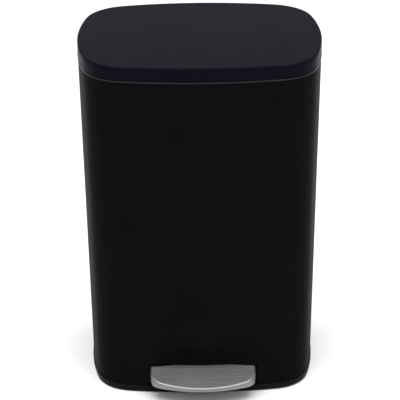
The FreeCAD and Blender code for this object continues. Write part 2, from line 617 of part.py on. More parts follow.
def hinge_housing():
    """The rear housing: a plate on the body with a knuckle at each end for the hinge pin."""
    inner = ARM_X + ARM_HALF + KNUCKLE_GAP
    outer = inner + KNUCKLE_W
    low, inside = HOUSING_LOW_Z, BACK_Y - HOUSING_IN
    parts = [block(-outer, outer, inside, HOUSING_FACE_Y, low, AXIS_Z - KNUCKLE_R - HOUSING_STEP)]
    for side in (-1, 1):
        a, b = sorted((side * inner, side * outer))
        parts.append(plate(a, b, [(inside, AXIS_Z), (AXIS_Y, AXIS_Z), (AXIS_Y + KNUCKLE_R, AXIS_Z),
                                  (HOUSING_FACE_Y, low + HOUSING_HEEL), (HOUSING_FACE_Y, low),
                                  (inside, low)]))
        parts.append(rod(KNUCKLE_R, V(a, AXIS_Y, AXIS_Z), V(b, AXIS_Y, AXIS_Z)))
    housing = parts[0].fuse(parts[1:]).cut(column(low - OVER, HEIGHT))
    bore = rod(PIN_R, V(-outer - OVER, AXIS_Y, AXIS_Z), V(outer + OVER, AXIS_Y, AXIS_Z))
    holes = [screw_hole(V(x, HOUSING_FACE_Y, HOUSING_SCREW_Z), -Y, HOUSING_SCREW_LENGTH)
             for x in HOUSING_SCREWS_X]
    return housing.cut([bore, crank_gate(), *holes]).removeSplitter()


def hinge_housing_screws():
    seats = [V(x, HOUSING_FACE_Y, HOUSING_SCREW_Z) for x in HOUSING_SCREWS_X]
    return Part.makeCompound([screw(seat, -Y, HOUSING_SCREW_LENGTH) for seat in seats])


def hinge_pin():
    pin = rod(PIN_R, V(-PIN_HALF, AXIS_Y, AXIS_Z), V(PIN_HALF, AXIS_Y, AXIS_Z))
    return pin.makeChamfer(PIN_CHAMFER, round_edges(pin))


def rod_cover():
    """The cover over the rod and damper, with tabs screwed to bosses on the rear wall."""
    z0, z1 = COVER_Z
    deep = CHANNEL - ROD_GAP
    half = COVER_HALF - COVER_T
    shell = block(-COVER_HALF, COVER_HALF, -deep, CHANNEL_OUT, z0, z1)
    hollow = block(-half, half, COVER_T - deep, CHANNEL_OUT + OVER, z0 - OVER, z1 + OVER)
    cover = trimmed(shell.cut(hollow), z0, z1)
    for x, z in COVER_SCREWS:
        seat = boss_seat(x, z)
        a, b = sorted((math.copysign(half, x), x + math.copysign(TAB_END, x)))
        cover = cover.fuse(block(a, b, seat.y - COVER_T, seat.y, z - TAB_HALF_H, z + TAB_HALF_H))
    return cover.cut([screw_hole(boss_seat(x, z) - Y * COVER_T, Y, SCREW_LENGTH) for x, z in COVER_SCREWS])


def rod_cover_screws():
    seats = [boss_seat(x, z) - Y * COVER_T for x, z in COVER_SCREWS]
    return Part.makeCompound([screw(seat, Y, SCREW_LENGTH) for seat in seats])


def rod_guide_lower():
    """A flanged bush in the floor."""
    bush = upright(LOWER_GUIDE_R, ROD_X, FLOOR_UNDER, FLOOR_Z + LOWER_GUIDE_UP)
    flange = upright(LOWER_GUIDE_R + LOWER_FLANGE, ROD_X, *(FLOOR_Z + up for up in LOWER_FLANGE_Z))
    bore = upright(ROD_R + GUIDE_CLEAR, ROD_X, FLOOR_UNDER - OVER, FLOOR_Z + LOWER_GUIDE_UP + OVER)
    return channel_solid(bush.fuse(flange).cut(bore))


def rod_guide_upper():
    """A guide block on the rear wall that steadies the rod."""
    z0, z1 = GUIDE_Z
    out = ROD_R + GUIDE_WALL
    body = block(ROD_X - out, GUIDE_SCREW[0] + GUIDE_END, -out, CHANNEL_OUT, z0, z1)
    body = body.cut(upright(ROD_R + GUIDE_CLEAR, ROD_X, z0 - OVER, z1 + OVER))
    seats = rear_screw_seats([GUIDE_SCREW])
    return trimmed(body, z0, z1).cut([screw_hole(p, -Y, SCREW_LENGTH) for p in seats])


def guide_screws():
    """The screws from outside that hold the upper guide and the damper's clamp."""
    seats = rear_screw_seats([GUIDE_SCREW] + CLAMP_SCREWS)
    return Part.makeCompound([screw(p, -Y, SCREW_LENGTH) for p in seats])


def damper_cylinder():
    low, high = (V(DAMPER_X, 0, z) for z in DAMPER_Z)
    return channel_solid(tube(DAMPER_R, DAMPER_R - DAMPER_WALL, low, high))


def damper_gland():
    """The lower plug that the damper's rod slides through."""
    z = DAMPER_Z[0]
    gland = upright(DAMPER_R - DAMPER_WALL, DAMPER_X, z, z + DAMPER_PLUG)
    gland = gland.fuse(upright(DAMPER_R, DAMPER_X, z - DAMPER_HEAD, z))
    bore = upright(DAMPER_ROD_R + AXLE_FIT, DAMPER_X, z - TRIM, z + DAMPER_PLUG + OVER)
    return channel_solid(gland.cut(bore))


def damper_cap():
    z = DAMPER_Z[1]
    cap = upright(DAMPER_R - DAMPER_WALL, DAMPER_X, z - DAMPER_PLUG, z)
    return channel_solid(cap.fuse(upright(DAMPER_R, DAMPER_X, z, z + DAMPER_HEAD)))


def damper_clamp():
    """The clamp that holds the damper's cylinder to the rear wall."""
    z0, z1 = CLAMP_Z
    foot_x = CLAMP_SCREWS[0][0]
    wide = upright(DAMPER_R + CLAMP_WALL, DAMPER_X, z0, z1)
    wide = wide.fuse(block(foot_x - CLAMP_FOOT, DAMPER_X + CLAMP_FOOT, 0, CHANNEL_OUT, z0, z1))
    wide = wide.cut(upright(DAMPER_R, DAMPER_X, z0 - OVER, z1 + OVER))
    seats = rear_screw_seats(CLAMP_SCREWS)
    return trimmed(wide, z0, z1).cut([screw_hole(p, -Y, SCREW_LENGTH) for p in seats])


# ---- the pedal's body ----------------------------------------------------------------------------
def tread_z(y, below=0.0):
    """The tread's sloping top, moved down square to its face by below."""
    return TREAD_Z + SLOPE * (y - WALL_FACE_Y) - below * math.hypot(1, SLOPE)


def tread_block(inset, drop):
    """The solid under the tread's skin, moved in by inset and open below when drop is positive."""
    middle = V(0, LIP_Y + TREAD_FRONT_R, 0)
    r, corner_r, half = TREAD_FRONT_R - inset, TREAD_CORNER_R - inset, PEDAL_W / 2 - inset
    reach = TREAD_FRONT_R - TREAD_CORNER_R
    corner_x = PEDAL_W / 2 - TREAD_CORNER_R
    corner = V(corner_x, middle.y - math.sqrt(reach ** 2 - corner_x ** 2), 0)
    turn = math.atan2(corner.y - middle.y, corner.x)
    back_y = WALL_FACE_Y + TREAD_BACK + drop
    a, b = middle + polar(turn) * r, corner + X * corner_r
    via = corner + polar(turn / 2) * corner_r
    right = Part.Arc(a, via, b).toShape()
    flip = [V(-p.x, p.y, 0) for p in (b, via, a)]
    front = Part.Arc(flip[2], middle - Y * r, a).toShape()
    c, d = V(half, back_y, 0), V(-half, back_y, 0)
    wire = Part.Wire([front, right, Part.makeLine(b, c), Part.makeLine(c, d), Part.makeLine(d, flip[0]),
                      Part.Arc(*flip).toShape()])
    prism = Part.Face(wire).extrude(Z * TREAD_Z * 2)
    y0, y1 = LIP_Y - OVER, back_y + TREAD_BACK
    below = [(y0, tread_z(y0, inset)), (y1, tread_z(y1, inset)), (y1, tread_z(y1) - TREAD_SIDE_H - drop),
             (LIP_Y + LIP_KNEE, LIP_Z - drop), (y0, LIP_Z - drop)]
    solid = prism.common(plate(-PEDAL_W, PEDAL_W, below))
    crease = [e for e in solid.Edges if on_tread_rim(e, inset, back_y)]
    return solid.makeFillet(TREAD_EDGE_R - inset, crease)


def on_tread_rim(edge, inset, back_y):
    """True for the edges between the sloping top and the lip."""
    p = edge.valueAt((edge.FirstParameter + edge.LastParameter) / 2)
    return abs(p.z - tread_z(p.y, inset)) < 0.01 and abs(p.y - back_y) > 0.01


def pedal_tread():
    """The brushed steel tread: a bent sheet with a lip round its front and sides, and studs below."""
    skin = tread_block(0, 0).cut(tread_block(TREAD_T, TREAD_OPEN))
    studs = [rod(STUD_R, V(x, y, tread_z(y, TREAD_T) - STUD_L), V(x, y, tread_z(y, TREAD_T / 2)))
             for x, y in STUDS]
    return skin.fuse(studs)


def lever_outline(y0, y1):
    """The side view of the lever's beams, as (y, z) points, for a pad from y0 to y1."""
    sunk = TREAD_T + OVER
    high, low = AXLE_Z + BEAM_HALF_H, AXLE_Z - BEAM_HALF_H
    back_y = FOOT_HOOK_Y - BAR_BEHIND
    return [(y0, tread_z(y0, sunk)), (y1, tread_z(y1, sunk)), (AXLE_Y - BEAM_FLAT, high),
            (AXLE_Y + BEAM_FLAT, high), (back_y, FOOT_HOOK_Z + BAR_UP), (back_y, FOOT_HOOK_Z - BAR_DOWN),
            (AXLE_Y + BEAM_FLAT, low), (AXLE_Y - BEAM_FLAT, low), (WALL_FACE_Y, low),
            (y0, tread_z(y0) - BEAM_SCOOP)]


def pedal_lever():
    """The lever: two beams from the tread to a rear cross-bar with tongues for the rods."""
    y0, y1 = (WALL_FACE_Y + dy for dy in PAD_Y)
    under = TREAD_T + PAD_T
    corners = [(y, tread_z(y, below))
               for y, below in ((y0, TREAD_T), (y1, TREAD_T), (y1, under), (y0, under))]
    pad = plate(-PAD_HALF_W, PAD_HALF_W, corners)
    outline = lever_outline(y0, y1)
    inner, outer = BEAM_X - BEAM_T / 2, BEAM_X + BEAM_T / 2
    parts = []
    for side in (-1, 1):
        a, b, c = (side * x for x in (inner, outer, BOSS_OUT))
        parts.append(plate(a, b, outline))
        parts.append(rod(LEVER_BOSS_R, V(a, AXLE_Y, AXLE_Z), V(c, AXLE_Y, AXLE_Z)))
    back_y = FOOT_HOOK_Y - BAR_BEHIND
    low, high = FOOT_HOOK_Z - BAR_DOWN, FOOT_HOOK_Z + BAR_UP
    parts.append(block(-outer, outer, back_y - BAR_T, back_y, low, high))
    half = CRANK_T / 2
    for x in (0, DAMPER_TONGUE_X):
        end = V(x, FOOT_HOOK_Y + TONGUE_PAST, FOOT_HOOK_Z)
        parts.append(block(x - half, x + half, back_y - BAR_T / 2, FOOT_HOOK_Y, low, low + 2 * TONGUE_R))
        parts.append(rod(TONGUE_R, end - X * half, end + X * half))
    cuts = [rod(LEVER_BUSH_R, V(-AXLE_HALF, AXLE_Y, AXLE_Z), V(AXLE_HALF, AXLE_Y, AXLE_Z))]
    hook = V(0, FOOT_HOOK_Y, FOOT_HOOK_Z)
    for x, r in ((0, ROD_R), (DAMPER_TONGUE_X, DAMPER_ROD_R)):
        high = 2 * (r + GUIDE_CLEAR)
        cuts.append(slot_tool(x - CRANK_T, x + CRANK_T, hook, Y, high + 2 * HOOK_SLOT_PLAY, high))
    cuts += [rod(STUD_R + STUD_CLEAR, V(x, y, 0), V(x, y, TREAD_Z)) for x, y in STUDS]
    return pad.fuse(parts).cut(cuts).removeSplitter()


def tread_nuts():
    """Hex nuts on the tread's studs."""
    nuts = []
    for x, y in STUDS:
        top = V(x, y, tread_z(y, TREAD_T + PAD_T) - NUT_R * SLOPE)
        corners = [top + polar(math.pi / 3 * i) * NUT_R for i in range(6)]
        nut = Part.Face(Part.makePolygon([*corners, corners[0]])).extrude(Z * -NUT_H)
        nuts.append(nut.cut(rod(STUD_R, top - Z * (NUT_H + OVER), top + Z * OVER)))
    return Part.makeCompound(nuts)


def lever_bush(side):
    """A flanged bush between the lever's boss and the axle."""
    ends = [V(side * x, AXLE_Y, AXLE_Z) for x in (BEAM_X - BEAM_T / 2, BOSS_OUT, BOSS_OUT + LEVER_FLANGE_T)]
    bush = rod(LEVER_BUSH_R, ends[0], ends[1]).fuse(rod(LEVER_BUSH_R + LEVER_FLANGE, ends[1], ends[2]))
    return bush.cut(rod(AXLE_R + AXLE_FIT, ends[0] - X * side * OVER, ends[2] + X * side * OVER))


# ---- the lid's body ------------------------------------------------------------------------------
def lid_dome(inset):
    """Everything under the lid's slightly domed top, moved down by inset."""
    return Part.makeSphere(LID_CROWN_R - inset, V(0, MIDDLE_Y, HEIGHT - LID_CROWN_R))


def lid_cover():
    shell = column(SKIRT_Z, HEIGHT).common(lid_dome(0))
    top = [e for e in shell.Edges if e.BoundBox.ZMin > SKIRT_Z + LID_H / 2]
    shell = shell.makeFillet(LID_EDGE_R, top)
    hollow = column(SKIRT_Z - OVER, HEIGHT, LID_WALL).common(lid_dome(LID_WALL))
    bosses = [rod(LID_BOSS_R, V(x, y, PANEL_Z + PANEL_T), V(x, y, HEIGHT))
              for x, y in PANEL_SCREWS + HINGE_SCREWS]
    bosses = Part.makeCompound(bosses).common(lid_dome(LID_WALL / 2))
    notch = block(-HINGE_NOTCH, HINGE_NOTCH, BACK_Y - NOTCH_CUT, BACK_Y + NOTCH_CUT,
                  SKIRT_Z - OVER, SKIRT_Z + NOTCH_TOP)
    holes = [screw_hole(V(x, y, PANEL_Z), Z, SCREW_LENGTH) for x, y in PANEL_SCREWS + HINGE_SCREWS]
    return shell.cut(hollow).fuse(bosses.Solids).cut([notch, *holes])


def lid_panel():
    panel = column(PANEL_Z, PANEL_Z + PANEL_T, LID_WALL + PANEL_GAP)
    lip = ring(PANEL_Z + PANEL_T, PANEL_Z + PANEL_T + PANEL_LIP_H, LID_WALL + PANEL_GAP,
               LID_WALL + PANEL_GAP + PANEL_LIP_T)
    panel = panel.fuse(lip).removeSplitter()
    return panel.cut([screw_hole(V(x, y, PANEL_Z), Z, SCREW_LENGTH) for x, y in PANEL_SCREWS + HINGE_SCREWS])


def lid_panel_screws():
    return Part.makeCompound([screw(V(x, y, PANEL_Z), Z, SCREW_LENGTH) for x, y in PANEL_SCREWS])


def lid_bumpers():
    """Soft pads under the panel that meet the collar's upstand."""
    pads = []
    for name in CORNERS:
        p = BODY_PLAN.corner(name, UPSTAND_INSET + UPSTAND_T / 2 + LEAN * (HEIGHT - PANEL_Z))
        pads.append(rod(BUMPER_R, V(p.x, p.y, PANEL_Z - BUMPER_H), V(p.x, p.y, PANEL_Z)))
    return Part.makeCompound(pads)


def hinge_arm(x):
    """One arm of the lid's hinge, from under the panel out and down to the hub."""
    low, top = PANEL_Z - HINGE_PLATE_T - AXIS_Z, PANEL_Z - AXIS_Z
    back = ARM_BACK
    outline = [(0, 0), (back, 3), (back, top - 4), (1, top), (-ARM_REACH, top), (-ARM_REACH, low),
               (-14, 6), (-6, 5)]
    return plate(x - ARM_HALF, x + ARM_HALF, [(AXIS_Y + dy, AXIS_Z + dz) for dy, dz in outline])


def crank():
    """The crank's arm, and the slot that the lift rod's hook slides in."""
    rest = math.radians(CRANK_REST)
    along = V(0, -math.cos(rest), -math.sin(rest))
    axis = V(0, AXIS_Y, AXIS_Z)
    near, far = CRANK_SLOT_REACH
    wide = CRANK_SLOT_W + 2 * CRANK_TIP_WALL
    half = CRANK_T / 2
    arm = slot_tool(-half, half, axis + along * (far / 2), along, far + wide, wide)
    slot = slot_tool(-CRANK_T, CRANK_T, axis + along * ((near + far) / 2), along, far - near + CRANK_SLOT_W,
                     CRANK_SLOT_W)
    return arm, slot


def lid_hinge_bracket():
    """The lid's hinge: a plate under the panel, two arms to the hub, and the crank for the lift rod."""
    low = PANEL_Z - HINGE_PLATE_T
    half = ARM_X + ARM_HALF
    near, far = HINGE_PLATE_IN
    plate_under = block(-half, half, BACK_Y - far, BACK_Y - near, low, PANEL_Z)
    hub = rod(KNUCKLE_R, V(-half, AXIS_Y, AXIS_Z), V(half, AXIS_Y, AXIS_Z))
    bore = rod(PIN_R + BUSH_T, V(-half - OVER, AXIS_Y, AXIS_Z), V(half + OVER, AXIS_Y, AXIS_Z))
    arm, slot = crank()
    holes = [screw_hole(V(x, y, low), Z, SCREW_LENGTH) for x, y in HINGE_SCREWS]
    bracket = plate_under.fuse([hinge_arm(-ARM_X), hinge_arm(ARM_X), hub, arm])
    return bracket.cut([bore, slot, *holes]).removeSplitter()


def lid_bracket_screws():
    seats = [V(x, y, PANEL_Z - HINGE_PLATE_T) for x, y in HINGE_SCREWS]
    return Part.makeCompound([screw(seat, Z, SCREW_LENGTH + OVER) for seat in seats])


def hinge_bush(side):
    ends = [V(side * x, AXIS_Y, AXIS_Z) for x in (ARM_X - ARM_HALF, ARM_X + ARM_HALF)]
    return tube(PIN_R + BUSH_T, PIN_R + AXLE_FIT, *ends)


# ---- the rods' bodies ----------------------------------------------------------------------------
def hooked_rod(radius, x, hooks, z_top):
    """A round rod along the channel whose ends in hooks turn towards -X.

    hooks lists (z, x where the hook ends); z_top is the plain top end, or None when a hook is there."""
    zs = [z for z, _ in hooks] + ([z_top] if z_top else [])
    low, high = min(zs), max(zs)
    bend = ROD_BEND_R
    parts = []
    for z, end_x in hooks:
        sign = 1 if z == low else -1
        turn = V(x - bend, 0, z + sign * bend)
        out = radius + OVER
        quarter = Part.makeTorus(bend, radius, turn, Y).common(
            block(turn.x, x + out, -out, out, *sorted((turn.z, z - sign * out))))
        parts += [quarter, rod(radius, V(end_x, 0, z), V(x - bend, 0, z))]
    z0 = low + bend
    z1 = high if z_top else high - bend
    straight = rod(radius, V(x, 0, z0), V(x, 0, z1))
    return channel_solid(straight.fuse(parts).removeSplitter())


def local_z(z):
    """A height on the rod's line, measured along the line from the ground."""
    return z / math.cos(math.radians(DRAFT))


def hook_clip(radius, x, z):
    """A push-on ring that keeps a hook in its slot."""
    return channel_solid(tube(radius + CLIP_PROUD, radius, V(x - CLIP_T, 0, local_z(z)), V(x, 0, local_z(z))))


def lift_rod():
    end_x = -HOOK_PAST - CLIP_T - HOOK_TAIL
    return hooked_rod(ROD_R, ROD_X, [(local_z(FOOT_HOOK_Z), end_x), (local_z(TOP_HOOK_Z), end_x)], None)


def lift_rod_clips():
    return Part.makeCompound([hook_clip(ROD_R, -HOOK_PAST, z) for z in (FOOT_HOOK_Z, TOP_HOOK_Z)])


def damper_rod():
    end_x = DAMPER_TONGUE_X - HOOK_PAST - CLIP_T - HOOK_TAIL
    return hooked_rod(DAMPER_ROD_R, DAMPER_X, [(local_z(FOOT_HOOK_Z), end_x)], PISTON_Z + PISTON_H)


def damper_rod_clip():
    return hook_clip(DAMPER_ROD_R, DAMPER_TONGUE_X - HOOK_PAST, FOOT_HOOK_Z)


def seal_ring():
    return Part.makeTorus(PISTON_R - SEAL_R + SEAL_PROUD, SEAL_R, V(DAMPER_X, 0, PISTON_Z + PISTON_H / 2), Z)


def damper_piston():
    ends = (V(DAMPER_X, 0, PISTON_Z), V(DAMPER_X, 0, PISTON_Z + PISTON_H))
    return channel_solid(tube(PISTON_R, DAMPER_ROD_R, *ends).cut(seal_ring()))


def damper_seal():
    return channel_solid(seal_ring())


# ---- all parts -----------------------------------------------------------------------------------
PARTS = {
    "outer_body": outer_body,
    "rim_collar": rim_collar,
    "base_ring": base_ring,
    "inner_bucket": inner_bucket,
    "axle_bracket_left": lambda: axle_bracket(-1),
    "axle_bracket_right": lambda: axle_bracket(1),
    "axle_bracket_screws": axle_bracket_screws,
    "pedal_axle": pedal_axle,
    "axle_clips": axle_clips,
    "hinge_housing": hinge_housing,
    "hinge_housing_screws": hinge_housing_screws,
    "hinge_pin": hinge_pin,
    "rod_cover": rod_cover,
    "rod_cover_screws": rod_cover_screws,
    "rod_guide_lower": rod_guide_lower,
    "rod_guide_upper": rod_guide_upper,
    "guide_screws": guide_screws,
    "damper_cylinder": damper_cylinder,
    "damper_gland": damper_gland,
    "damper_cap": damper_cap,
    "damper_clamp": damper_clamp,
    "pedal_tread": pedal_tread,
    "pedal_lever": pedal_lever,
    "tread_nuts": tread_nuts,
    "lever_bush_left": lambda: lever_bush(-1),
    "lever_bush_right": lambda: lever_bush(1),
    "lid_cover": lid_cover,
    "lid_panel": lid_panel,
    "lid_panel_screws": lid_panel_screws,
    "lid_bumpers": lid_bumpers,
    "lid_hinge_bracket": lid_hinge_bracket,
    "lid_bracket_screws": lid_bracket_screws,
    "hinge_bush_left": lambda: hinge_bush(-1),
    "hinge_bush_right": lambda: hinge_bush(1),
    "lift_rod": lift_rod,
    "lift_rod_clips": lift_rod_clips,
    "damper_rod": damper_rod,
    "damper_rod_clip": damper_rod_clip,
    "damper_piston": damper_piston,
    "damper_seal": damper_seal,
}

os.makedirs("parts", exist_ok=True)
for node, build in PARTS.items():
    build().exportStep("parts/" + node + ".step")
for node, place in foot_places().items():
    foot(place).exportStep("parts/foot_" + node + ".step")
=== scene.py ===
"""The pedal trash can's visual model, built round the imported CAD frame. Metres, +Z up, front at -Y."""

import json
import math

import bmesh
import bpy
from mathutils import Matrix, Vector
from mathutils.geometry import intersect_sphere_sphere_2d


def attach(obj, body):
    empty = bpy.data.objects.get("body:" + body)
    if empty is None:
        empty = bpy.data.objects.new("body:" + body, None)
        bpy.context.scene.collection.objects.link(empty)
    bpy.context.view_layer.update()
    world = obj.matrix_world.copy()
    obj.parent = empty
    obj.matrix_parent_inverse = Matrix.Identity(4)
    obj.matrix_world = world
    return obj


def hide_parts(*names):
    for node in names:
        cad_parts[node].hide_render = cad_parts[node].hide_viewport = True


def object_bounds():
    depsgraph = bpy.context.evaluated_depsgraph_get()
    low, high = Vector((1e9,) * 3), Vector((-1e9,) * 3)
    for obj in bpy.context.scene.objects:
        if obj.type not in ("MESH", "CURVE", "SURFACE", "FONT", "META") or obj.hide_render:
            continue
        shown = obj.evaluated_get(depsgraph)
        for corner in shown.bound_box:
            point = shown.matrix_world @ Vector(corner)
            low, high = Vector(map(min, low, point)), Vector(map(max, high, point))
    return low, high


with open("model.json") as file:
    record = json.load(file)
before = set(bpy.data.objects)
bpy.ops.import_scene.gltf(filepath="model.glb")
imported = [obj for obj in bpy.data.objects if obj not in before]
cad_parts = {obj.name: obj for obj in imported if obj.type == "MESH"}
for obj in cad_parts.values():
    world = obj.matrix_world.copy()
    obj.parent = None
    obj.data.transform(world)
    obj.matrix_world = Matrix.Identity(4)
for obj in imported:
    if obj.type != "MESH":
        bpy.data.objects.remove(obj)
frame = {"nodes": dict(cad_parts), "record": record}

cad_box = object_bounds()
MM = 0.001
NEAR, MERGE = 0.1 * MM, 0.01 * MM      # two places closer than these are taken as level, or as one
QUARTER = math.pi / 2

# ---- the can ---------------------------------------------------------------------------------------
WIDTH, DEPTH, HEIGHT = 410 * MM, 320 * MM, cad_box[1].z
LEAN = math.tan(math.radians(1.11))    # every wall leans in by this much towards the ground
FRONT_R, BACK_R, SIDE_R, CORNER_R = 825 * MM, 775 * MM, 373 * MM, 77 * MM
MIDDLE_Y = 10.5 * MM
FRONT_Y, BACK_Y = MIDDLE_Y - DEPTH / 2, MIDDLE_Y + DEPTH / 2
ARC_STEPS = (40, 16, 20, 16, 24)       # front, front corner, side, rear corner, rear

# ---- the body --------------------------------------------------------------------------------------
WALL = 2.6 * MM
BODY_LOW, BODY_TOP = 12 * MM, HEIGHT - 27.5 * MM
FLOOR_LOW, FLOOR_TOP = 67 * MM, 70 * MM
SLOT_HALF, SLOT_TOP = 93.5 * MM, 52 * MM               # the pedal's slot in the front wall
GATE_HALF, GATE_LOW = 9 * MM, HEIGHT - 51 * MM         # the crank's gate in the rear wall
SCOOP_DEEP, SCOOP_TOP = 7 * MM, 104 * MM               # the toe scoop over the slot
SCOOP_FLAT, SCOOP_SIDE = 36 * MM, 100 * MM             # half widths of its full depth and of all of it
SCOOP_STEP, WALL_STEPS = 4 * MM, 12
BODY_SOFT_EDGE = 0.5 * MM

# ---- the lid ---------------------------------------------------------------------------------------
SKIRT_Z, LID_EDGE_R, LID_WALL = HEIGHT - 24.5 * MM, 3.2 * MM, 2.5 * MM
CROWN_R = 13.0
NOTCH_HALF, NOTCH_TOP = 67 * MM, SKIRT_Z + 9 * MM      # room for the hinge in the rear skirt
EDGE_STEPS = 8                                         # on the lid's and the tread's rolled edges
EDGE_LEDGE = 1 * MM
CROWN_RINGS = (0.97, 0.93, 0.9, 0.88, 0.85, 0.8, 0.72, 0.6, 0.4)   # each ring over the one outside it
LID_SOFT_EDGE = 0.35 * MM

# ---- the tread -------------------------------------------------------------------------------------
TREAD_HALF, TREAD_FRONT_R, TREAD_CORNER_R = 90.5 * MM, 204 * MM, 26 * MM
TREAD_Z, TREAD_SLOPE = 48.5 * MM, math.tan(math.radians(17.2))
FACE_Y = FRONT_Y + LEAN * (HEIGHT - TREAD_Z)           # the body's face at the tread
TREAD_BACK_Y = FACE_Y + 9 * MM
TREAD_T, TREAD_EDGE_R = 1.5 * MM, 3.2 * MM
TREAD_STEPS = (20, 12, 6)                              # bowed front, corner, straight side
TREAD_LEDGES = (1 * MM, 3 * MM, 8 * MM, 16 * MM)
LIP_Y, LIP_Z = cad_box[0].y, 28.5 * MM
LIP_KNEE, LIP_SIDE_H = 28 * MM, 13 * MM                # the lip is level to the knee, then rises
STUD_X, STUD_R, STUD_L, STUD_SIDES = 55 * MM, 2 * MM, 8 * MM, 24
STUD_ROWS = (FACE_Y - 20 * MM, FACE_Y + 2 * MM)
STUD_WELD = 0.4 * MM                                   # how far a stud is sunk into the sheet
TREAD_SOFT_EDGE = 0.3 * MM

SOFT_EDGE_STEPS, SOFT_EDGE_FROM = 3, math.radians(40)

# ---- camera, floor and light -----------------------------------------------------------------------
SENSOR, LENS = 36.0, 187.01            # both as a camera maker writes them, in millimetres
CAMERA_RISE, CAMERA_TURN, CAMERA_ROLL = math.radians(24.841), math.radians(-0.544), math.radians(0.48)
CAMERA_AIM = Vector((-0.0032 * WIDTH, MIDDLE_Y, 0.7306 * WIDTH))
CAMERA_AWAY = 8.8086 * WIDTH
CAMERA_NEAR, CAMERA_FAR = 0.1, 50.0
FLOOR_HALF = 40.0
FLOOR_COLOUR, FLOOR_ROUGH = (0.95, 0.95, 0.97, 1.0), 0.6
SKY_COLOUR, SKY_STRENGTH = (1.0, 1.0, 1.0, 1.0), 0.62
LIGHTS = (                             # name, place, what it points at, size, watts
    ("overhead", (0.0, -0.5, 3.0), (0.0, -0.1, 0.0), 3.2, 126.0),
    ("left_wall", (-2.4, 0.5, 0.9), (0.0, 0.0, 0.35), 1.0, 3.0),
    ("right_front", (1.9, -1.6, 1.0), (0.0, -0.15, 0.05), 0.7, 4.0),
)


def make_camera():
    """The camera stands in front of the can and looks down on it."""
    data = bpy.data.cameras.new("view")
    data.sensor_width = SENSOR
    data.lens = LENS
    data.clip_start, data.clip_end = CAMERA_NEAR, CAMERA_FAR
    cam = bpy.data.objects.new("view", data)
    bpy.context.scene.collection.objects.link(cam)
    bpy.context.scene.camera = cam
    level = math.cos(CAMERA_RISE)
    look = Vector((-math.sin(CAMERA_TURN) * level, math.cos(CAMERA_TURN) * level, -math.sin(CAMERA_RISE)))
    right = Vector((math.cos(CAMERA_TURN), math.sin(CAMERA_TURN), 0.0))
    up = right.cross(look)
    tilted_right = right * math.cos(CAMERA_ROLL) - up * math.sin(CAMERA_ROLL)
    tilted_up = right * math.sin(CAMERA_ROLL) + up * math.cos(CAMERA_ROLL)
    axes = Matrix((tilted_right, tilted_up, -look)).transposed().to_4x4()
    cam.matrix_world = Matrix.Translation(CAMERA_AIM - look * CAMERA_AWAY) @ axes


# ---- materials -------------------------------------------------------------------------------------
NOISE_LOW, NOISE_HIGH = 0.3, 0.7       # most of a noise texture's values lie between these


class Shader:
    """A material's node tree, with one call for each node that is added."""

    def __init__(self, name):
        self.material = bpy.data.materials.new(name)
        self.material.use_nodes = True
        self.tree = self.material.node_tree
        self.tree.nodes.clear()
        out = self.tree.nodes.new("ShaderNodeOutputMaterial")
        self.skin = self.tree.nodes.new("ShaderNodeBsdfPrincipled")
        self.link(self.skin, "BSDF", out, "Surface")
        self.place = self.tree.nodes.new("ShaderNodeTexCoord")

    def link(self, source, out, target, into):
        self.tree.links.new(source.outputs[out], target.inputs[into])

    def set(self, socket, value):
        self.skin.inputs[socket].default_value = value

    def noise(self, scale, detail=3.0, rough=0.55, stretch=None):
        """A noise texture on the piece's own coordinates, stretched along an axis if asked."""
        node = self.tree.nodes.new("ShaderNodeTexNoise")
        node.inputs["Scale"].default_value = scale
        node.inputs["Detail"].default_value = detail
        node.inputs["Roughness"].default_value = rough
        if stretch:
            mapping = self.tree.nodes.new("ShaderNodeMapping")
            mapping.inputs["Scale"].default_value = stretch
            self.link(self.place, "Object", mapping, "Vector")
            self.link(mapping, "Vector", node, "Vector")
        else:
            self.link(self.place, "Object", node, "Vector")
        return node

    def roughness(self, source, smooth, rough):
        """Lets a texture move the roughness from smooth to rough."""
        node = self.tree.nodes.new("ShaderNodeMapRange")
        node.inputs["From Min"].default_value = NOISE_LOW
        node.inputs["From Max"].default_value = NOISE_HIGH
        node.inputs["To Min"].default_value = smooth
        node.inputs["To Max"].default_value = rough
        self.link(source, "Fac", node, "Value")
        self.link(node, "Result", self.skin, "Roughness")

    def colours(self, source, dark, light):
        """Lets a texture move the colour from dark to light."""
        node = self.tree.nodes.new("ShaderNodeValToRGB")
        ends = zip(node.color_ramp.elements, (NOISE_LOW, NOISE_HIGH), (dark, light))
        for end, position, colour in ends:
            end.position = position
            end.color = (*colour, 1.0)
        self.link(source, "Fac", node, "Fac")
        self.link(node, "Color", self.skin, "Base Color")

    def bump(self, source, depth, strength, before=None):
        """Lets a texture raise the surface, on top of an earlier bump if there is one."""
        node = self.tree.nodes.new("ShaderNodeBump")
        node.inputs["Strength"].default_value = strength
        node.inputs["Distance"].default_value = depth
        self.link(source, "Fac", node, "Height")
        if before:
            self.link(before, "Normal", node, "Normal")
        self.link(node, "Normal", self.skin, "Normal")
        return node


def moulded_plastic(name, dark, light, rough, grain=1800.0, grain_strength=0.35, gloss=0.1):
    """Moulded plastic: a fine spark-eroded grain, with slow changes of gloss and colour."""
    s = Shader(name)
    s.set("IOR", 1.46)
    s.set("Specular IOR Level", gloss)
    s.colours(s.noise(14.0, detail=4.0), dark, light)
    s.roughness(s.noise(9.0, detail=5.0, rough=0.6), *rough)
    sink_marks = s.bump(s.noise(5.0, detail=1.0), 0.6 * MM, 0.05)
    s.bump(s.noise(grain, detail=2.0, rough=0.6), 0.03 * MM, grain_strength, sink_marks)
    return s.material


